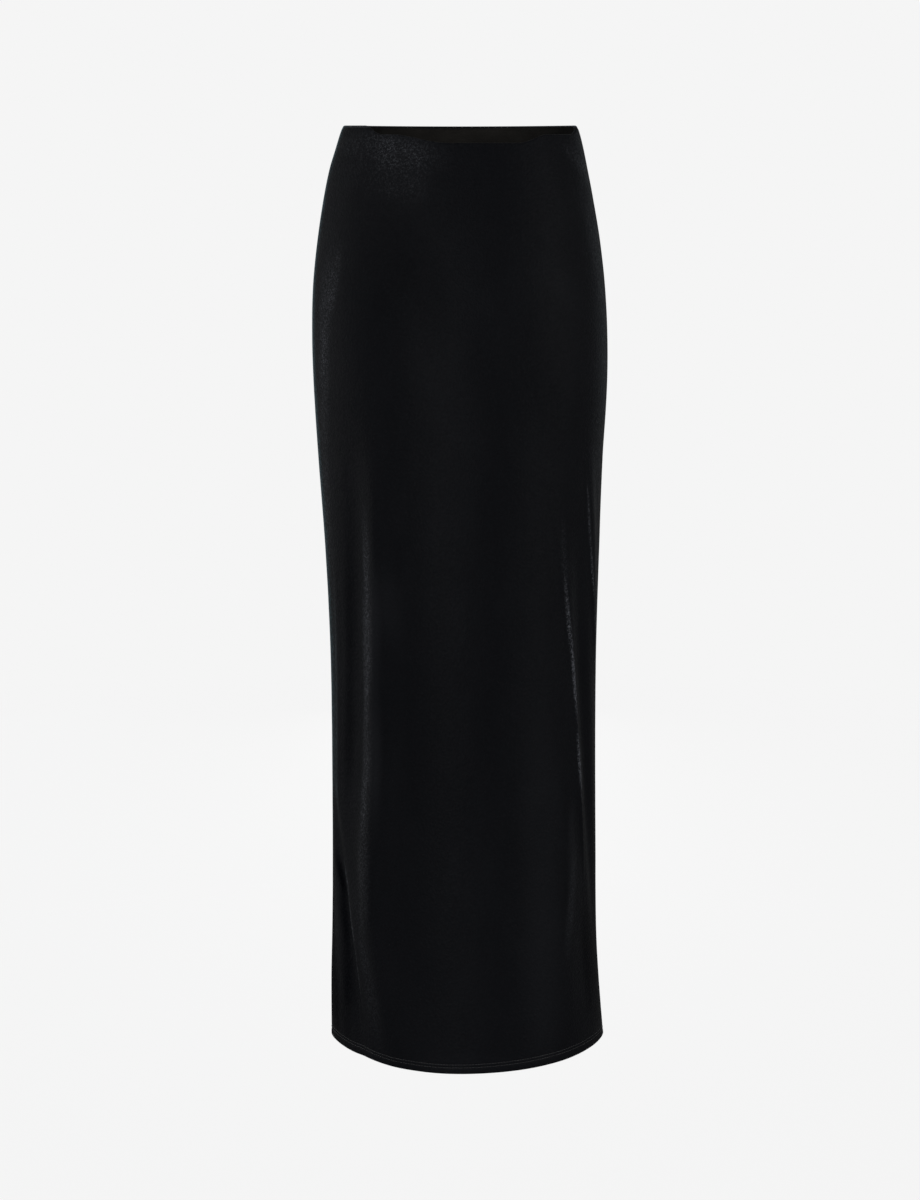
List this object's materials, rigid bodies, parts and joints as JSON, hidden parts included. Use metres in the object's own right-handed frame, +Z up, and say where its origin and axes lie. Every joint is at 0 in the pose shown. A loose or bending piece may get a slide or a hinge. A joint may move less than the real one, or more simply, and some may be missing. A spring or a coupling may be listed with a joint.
{
  "type": "column skirt",
  "caption": "Ankle-length column skirt in black stretch velvet, pull-on waist with an inside elastic, side seams and a turned, topstitched hem, in its worn shape.",
  "frame": {"origin": "middle of the waist opening, level with the waist edge at the two side seams, where the wearer holds the skirt up", "axes": "+Z up to the wearer's head, -Y out of the front of the skirt, +X to the wearer's left"},
  "size_m": [0.3171, 0.2681, 0.998],
  "materials": {
    "velvet": "black short-pile stretch velvet, dark face on and with a soft cool sheen where it turns away",
    "elastic": "matt brownish-black woven elastic",
    "thread": "dark grey polyester sewing thread, in the hem's twin topstitching and the seams' overlocked edges"
  },
  "bodies": {
    "root": {"front_panel": "velvet", "back_panel": "velvet", "waist_elastic": "elastic"}
  },
  "joints": []
}
